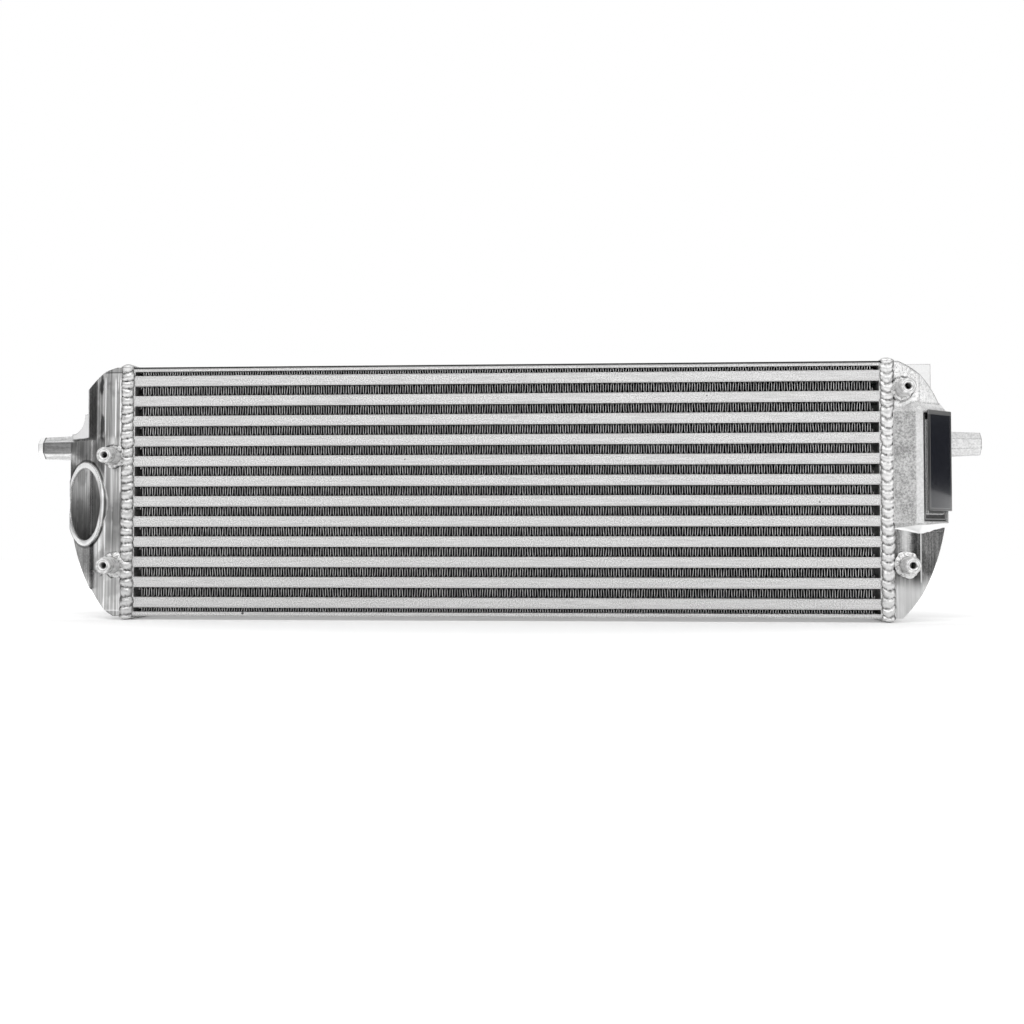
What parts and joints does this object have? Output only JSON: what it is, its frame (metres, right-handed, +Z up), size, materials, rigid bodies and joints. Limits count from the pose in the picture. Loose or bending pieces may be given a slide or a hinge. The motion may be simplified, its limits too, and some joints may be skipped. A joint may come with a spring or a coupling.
{
  "type": "intercooler",
  "caption": "Bar-and-plate air-to-air intercooler with cast end tanks, mounting pegs, threaded bosses and rear hose spigots.",
  "frame": {"origin": "centre of the core's flat underside", "axes": "+X along the core from the inlet tank to the outlet tank, +Y from the front face to the rear, where the hose spigots are, +Z up"},
  "size_m": [0.779, 0.161, 0.2106],
  "materials": {
    "core_bar": "brushed, slightly streaked",
    "air_fin": "thin bare sheet",
    "inner_fin": "thin bare sheet",
    "cast_tank": "cast, linished to a satin shine",
    "weld": "bright rippled weld",
    "turned_boss": "turned",
    "badge": "gloss black foil"
  },
  "bodies": {
    "root": {"air_fin_01": "air_fin", "air_fin_02": "air_fin", "air_fin_03": "air_fin", "air_fin_04": "air_fin", "air_fin_05": "air_fin", "air_fin_06": "air_fin", "air_fin_07": "air_fin", "air_fin_08": "air_fin", "air_fin_09": "air_fin", "air_fin_10": "air_fin", "air_fin_11": "air_fin", "air_fin_12": "air_fin", "air_fin_13": "air_fin", "badge_plate": "badge", "bottom_side_plate": "core_bar", "charge_tube_01": "core_bar", "charge_tube_02": "core_bar", "charge_tube_03": "core_bar", "charge_tube_04": "core_bar", "charge_tube_05": "core_bar", "charge_tube_06": "core_bar", "charge_tube_07": "core_bar", "charge_tube_08": "core_bar", "charge_tube_09": "core_bar", "charge_tube_10": "core_bar", "charge_tube_11": "core_bar", "charge_tube_12": "core_bar", "left_lower_boss": "turned_boss", "left_tank": "cast_tank", "left_upper_boss": "turned_boss", "left_weld_bead": "weld", "right_lower_boss": "turned_boss", "right_tank": "cast_tank", "right_upper_boss": "turned_boss", "right_weld_bead": "weld", "top_side_plate": "core_bar", "turbulator_01": "inner_fin", "turbulator_02": "inner_fin", "turbulator_03": "inner_fin", "turbulator_04": "inner_fin", "turbulator_05": "inner_fin", "turbulator_06": "inner_fin", "turbulator_07": "inner_fin", "turbulator_08": "inner_fin", "turbulator_09": "inner_fin", "turbulator_10": "inner_fin", "turbulator_11": "inner_fin", "turbulator_12": "inner_fin"}
  },
  "joints": []
}
